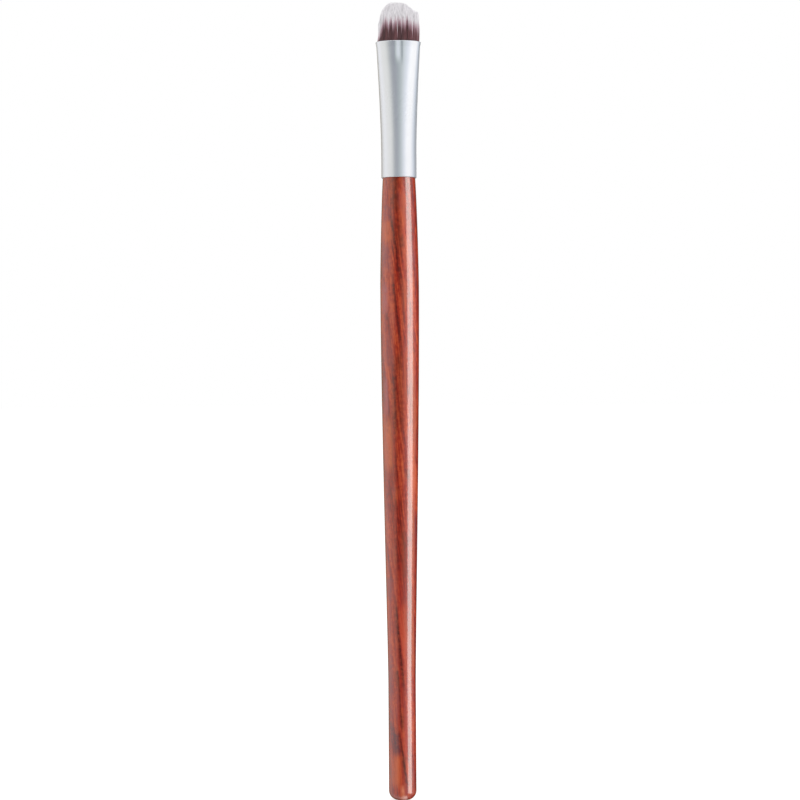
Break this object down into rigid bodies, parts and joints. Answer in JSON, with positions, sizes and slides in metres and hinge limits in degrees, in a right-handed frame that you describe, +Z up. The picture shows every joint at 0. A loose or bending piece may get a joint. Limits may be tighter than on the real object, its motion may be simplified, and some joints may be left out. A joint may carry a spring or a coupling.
{
  "type": "eyeshadow brush",
  "caption": "Slim cosmetic brush with a swelling lacquered wooden handle, a metal ferrule pressed from round to oval, and a short domed tuft of two-tone bristles.",
  "frame": {"origin": "middle of the flat at the handle's butt, which is the middle of the bottom of the box round the whole brush", "axes": "+Z runs up the handle to the bristle tip, X is the wide way across the pressed ferrule, Y is its thin way, and the brush is seen along +Y in its usual view"},
  "size_m": [0.0096, 0.0082, 0.17],
  "materials": {
    "lacquered_wood": "gloss lacquer",
    "satin_aluminium": "satin",
    "bristles": "fine soft fibres, dark at the foot and pale at the tip",
    "epoxy": "cured epoxy",
    "waxed_thread": "waxed thread",
    "wood_glue": "cured glue"
  },
  "bodies": {
    "root": {"handle": "lacquered_wood", "ferrule": "satin_aluminium", "bristle_tuft": "bristles", "root_plug": "epoxy", "root_binding": "waxed_thread", "tenon_glue": "wood_glue"}
  },
  "joints": []
}
